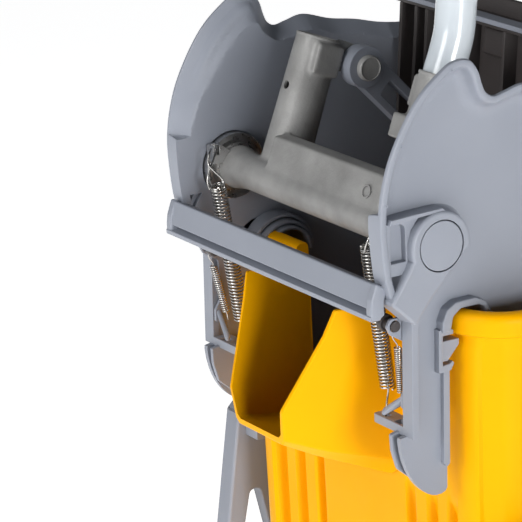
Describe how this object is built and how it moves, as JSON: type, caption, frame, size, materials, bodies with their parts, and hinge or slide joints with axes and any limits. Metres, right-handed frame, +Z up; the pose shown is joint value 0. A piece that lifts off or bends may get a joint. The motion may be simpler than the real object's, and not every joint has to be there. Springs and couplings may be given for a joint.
{
  "type": "mop bucket with side-press wringer",
  "caption": "Wheeled yellow mop bucket with a pouring chute and a grey lever-operated side-press wringer hooked over its front rim.",
  "frame": {"origin": "on the floor, under the middle of the whole object", "axes": "+Z up, -Y towards the crossbar and pouring chute, +X towards the side that carries the handle"},
  "size_m": [0.408, 0.576, 0.946],
  "materials": {
    "bucket_yellow": "satin moulded polypropylene",
    "grey_plastic": "satin moulded polypropylene",
    "dark_plastic": "satin moulded plastic",
    "cast_aluminium": "rough sand cast",
    "steel": "zinc plated",
    "spring_steel": "bright nickel plated",
    "white_enamel": "gloss powder coat",
    "grip_rubber": "matte moulded grip",
    "wheel_rubber": "matte non-marking tread"
  },
  "bodies": {
    "frame": {"bucket_tub": "bucket_yellow", "right_side_plate": "grey_plastic", "left_side_plate": "grey_plastic", "front_crossbar": "grey_plastic", "rear_press_plate": "grey_plastic", "strainer_floor": "grey_plastic", "jaw_hinge_rod": "steel", "right_spring_anchor": "grey_plastic", "right_latch_pivot": "dark_plastic", "right_latch_spring": "spring_steel", "right_return_spring": "spring_steel", "left_spring_anchor": "grey_plastic", "left_latch_pivot": "dark_plastic", "left_latch_spring": "spring_steel", "left_return_spring": "spring_steel", "right_front_outrigger": "grey_plastic", "left_front_outrigger": "grey_plastic", "right_rear_outrigger": "grey_plastic", "left_rear_outrigger": "grey_plastic"},
    "handle": {"press_axle": "cast_aluminium", "handle_tube": "white_enamel", "handle_grip": "grip_rubber", "right_hub_disc": "steel", "right_axle_journal": "grey_plastic", "right_link_pin": "cast_aluminium", "left_hub_disc": "steel", "left_axle_journal": "grey_plastic", "left_link_pin": "cast_aluminium"},
    "press_links": {"right_link_arm": "grey_plastic", "left_link_arm": "grey_plastic", "link_rod": "steel"},
    "jaw": {"moving_jaw": "dark_plastic"},
    "right_latch": {"right_latch_lever": "grey_plastic"},
    "left_latch": {"left_latch_lever": "grey_plastic"},
    "front_left_caster": {"front_left_caster_fork": "steel"},
    "front_left_wheel": {"front_left_wheel": "wheel_rubber", "front_left_wheel_axle": "steel"},
    "front_right_caster": {"front_right_caster_fork": "steel"},
    "front_right_wheel": {"front_right_wheel": "wheel_rubber", "front_right_wheel_axle": "steel"},
    "rear_left_caster": {"rear_left_caster_fork": "steel"},
    "rear_left_wheel": {"rear_left_wheel": "wheel_rubber", "rear_left_wheel_axle": "steel"},
    "rear_right_caster": {"rear_right_caster_fork": "steel"},
    "rear_right_wheel": {"rear_right_wheel": "wheel_rubber", "rear_right_wheel_axle": "steel"}
  },
  "joints": [
    {"name": "handle_press", "type": "hinge", "parent": "frame", "child": "handle", "pos_m": [0, -0.223, 0.47], "axis": [-1, 0, 0], "range_deg": [0, 32], "stiffness_Nm_per_rad": 9, "springref_deg": -28.65, "deforming": ["right_return_spring", "left_return_spring"]},
    {"name": "link_swing", "type": "hinge", "parent": "handle", "child": "press_links", "pos_m": [0, -0.147, 0.55], "axis": [-1, 0, 0], "range_deg": [-62.2, 0]},
    {"name": "jaw_swing", "type": "hinge", "parent": "frame", "child": "jaw", "pos_m": [0, -0.073, 0.31], "axis": [-1, 0, 0], "range_deg": [0, 21.2]},
    {"name": "right_latch_release", "type": "hinge", "parent": "frame", "child": "right_latch", "pos_m": [0, -0.25, 0.41], "axis": [-1, 0, 0], "range_deg": [0, 20], "stiffness_Nm_per_rad": 0.6, "springref_deg": -17.19, "deforming": ["right_latch_spring"]},
    {"name": "left_latch_release", "type": "hinge", "parent": "frame", "child": "left_latch", "pos_m": [0, -0.25, 0.41], "axis": [-1, 0, 0], "range_deg": [0, 20], "stiffness_Nm_per_rad": 0.6, "springref_deg": -17.19, "deforming": ["left_latch_spring"]},
    {"name": "front_left_swivel", "type": "hinge", "parent": "frame", "child": "front_left_caster", "pos_m": [-0.172, -0.157, 0.1], "axis": [0, 0, 1], "continuous": true},
    {"name": "front_left_roll", "type": "hinge", "parent": "front_left_caster", "child": "front_left_wheel", "pos_m": [-0.172, -0.131, 0.038], "axis": [1, 0, 0], "continuous": true},
    {"name": "front_right_swivel", "type": "hinge", "parent": "frame", "child": "front_right_caster", "pos_m": [0.172, -0.157, 0.1], "axis": [0, 0, 1], "continuous": true},
    {"name": "front_right_roll", "type": "hinge", "parent": "front_right_caster", "child": "front_right_wheel", "pos_m": [0.172, -0.131, 0.038], "axis": [1, 0, 0], "continuous": true},
    {"name": "rear_left_swivel", "type": "hinge", "parent": "frame", "child": "rear_left_caster", "pos_m": [-0.172, 0.233, 0.1], "axis": [0, 0, 1], "continuous": true},
    {"name": "rear_left_roll", "type": "hinge", "parent": "rear_left_caster", "child": "rear_left_wheel", "pos_m": [-0.172, 0.207, 0.038], "axis": [1, 0, 0], "continuous": true},
    {"name": "rear_right_swivel", "type": "hinge", "parent": "frame", "child": "rear_right_caster", "pos_m": [0.172, 0.233, 0.1], "axis": [0, 0, 1], "continuous": true},
    {"name": "rear_right_roll", "type": "hinge", "parent": "rear_right_caster", "child": "rear_right_wheel", "pos_m": [0.172, 0.207, 0.038], "axis": [1, 0, 0], "continuous": true}
  ],
  "couplings": [
    {"joint": "link_swing", "follows": "handle_press", "ratio": -1.9355},
    {"joint": "jaw_swing", "follows": "handle_press", "ratio": 0.6588}
  ]
}
